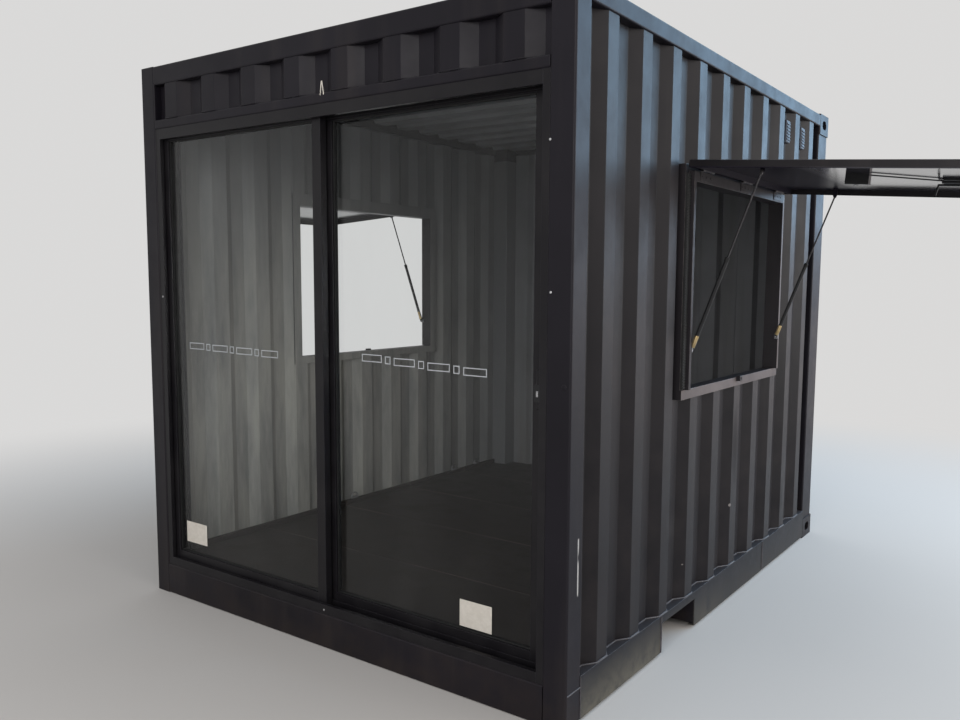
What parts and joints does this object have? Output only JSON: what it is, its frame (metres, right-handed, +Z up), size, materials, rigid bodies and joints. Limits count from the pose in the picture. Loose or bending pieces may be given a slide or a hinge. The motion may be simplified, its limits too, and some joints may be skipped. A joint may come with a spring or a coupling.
{
  "type": "shipping container cabin",
  "caption": "Short steel container cabin with a glazed sliding door across the front and an outward-swinging hatch on gas struts in each side wall.",
  "frame": {"origin": "centre of the footprint on the floor it stands on", "axes": "+Z up, -Y towards the glazed front, +X to the right when the front is faced"},
  "size_m": [4.515, 3.029, 2.591],
  "materials": {
    "charcoal_paint": "satin",
    "black_aluminium": "satin",
    "clear_glass": "polished",
    "floor_plywood": "matte",
    "strut_black": "gloss",
    "bright_steel": "brushed"
  },
  "bodies": {
    "cabin": {"cross_members": "charcoal_paint", "door_head": "black_aluminium", "door_jambs": "black_aluminium", "door_sill": "black_aluminium", "fixed_leaf_glass": "clear_glass", "fixed_leaf_rails": "black_aluminium", "fixed_leaf_stiles": "black_aluminium", "floor": "floor_plywood", "fork_pocket": "charcoal_paint", "front_left_post": "charcoal_paint", "front_right_post": "charcoal_paint", "front_sill": "charcoal_paint", "front_top_rail": "charcoal_paint", "header_beam": "charcoal_paint", "header_panel": "charcoal_paint", "lashing_rings": "bright_steel", "left_bottom_rail": "charcoal_paint", "left_hatch_frame": "charcoal_paint", "left_hatch_hinges": "charcoal_paint", "left_strut_studs": "bright_steel", "left_top_rail": "charcoal_paint", "left_wall_above_hatch": "charcoal_paint", "left_wall_below_hatch": "charcoal_paint", "left_wall_front": "charcoal_paint", "left_wall_rear": "charcoal_paint", "rear_castings": "charcoal_paint", "rear_posts": "charcoal_paint", "rear_sill": "charcoal_paint", "rear_top_rail": "charcoal_paint", "rear_wall": "charcoal_paint", "right_bottom_rail": "charcoal_paint", "right_hatch_frame": "charcoal_paint", "right_hatch_hinges": "charcoal_paint", "right_strut_studs": "bright_steel", "right_top_rail": "charcoal_paint", "right_wall_above_hatch": "charcoal_paint", "right_wall_below_hatch": "charcoal_paint", "right_wall_front": "charcoal_paint", "right_wall_rear": "charcoal_paint", "roof_panel": "charcoal_paint", "wall_vents": "charcoal_paint"},
    "door_leaf": {"door_handle": "black_aluminium", "sliding_leaf_glass": "clear_glass", "sliding_leaf_rails": "black_aluminium", "sliding_leaf_stiles": "black_aluminium"},
    "right_flap": {"right_flap": "charcoal_paint", "right_flap_lining": "charcoal_paint", "right_flap_locks": "charcoal_paint"},
    "right_strut_cylinders": {"right_strut_cylinders": "strut_black"},
    "right_strut_rods": {"right_strut_rods": "bright_steel"},
    "left_flap": {"left_flap": "charcoal_paint", "left_flap_lining": "charcoal_paint", "left_flap_locks": "charcoal_paint"},
    "left_strut_cylinders": {"left_strut_cylinders": "strut_black"},
    "left_strut_rods": {"left_strut_rods": "bright_steel"}
  },
  "joints": [
    {"name": "door_slide", "type": "slide", "parent": "cabin", "child": "door_leaf", "axis": [-1, 0, 0], "range_m": [0, 1.04]},
    {"name": "right_flap_hinge", "type": "hinge", "parent": "cabin", "child": "right_flap", "pos_m": [1.258, 0, 2.056], "axis": [0, 1, 0], "range_deg": [0, 86]},
    {"name": "right_strut_swing", "type": "hinge", "parent": "cabin", "child": "right_strut_cylinders", "pos_m": [1.243, 0, 1.3], "axis": [0, 1, 0], "range_deg": [-20.5, 0.5]},
    {"name": "right_strut_stroke", "type": "slide", "parent": "right_strut_cylinders", "child": "right_strut_rods", "axis": [0.3529, 0, 0.9357], "range_m": [-0.289, 0.001]},
    {"name": "left_flap_hinge", "type": "hinge", "parent": "cabin", "child": "left_flap", "pos_m": [-1.258, 0, 2.056], "axis": [0, -1, 0], "range_deg": [0, 86]},
    {"name": "left_strut_swing", "type": "hinge", "parent": "cabin", "child": "left_strut_cylinders", "pos_m": [-1.243, 0, 1.3], "axis": [0, -1, 0], "range_deg": [-20.5, 0.5]},
    {"name": "left_strut_stroke", "type": "slide", "parent": "left_strut_cylinders", "child": "left_strut_rods", "axis": [-0.3529, 0, 0.9357], "range_m": [-0.289, 0.001]}
  ],
  "couplings": [
    {"joint": "right_strut_swing", "follows": "right_flap_hinge", "ratio": -0.2281},
    {"joint": "right_strut_stroke", "follows": "right_flap_hinge", "m_per_rad": -0.1918},
    {"joint": "left_strut_swing", "follows": "left_flap_hinge", "ratio": -0.2281},
    {"joint": "left_strut_stroke", "follows": "left_flap_hinge", "m_per_rad": -0.1918}
  ]
}
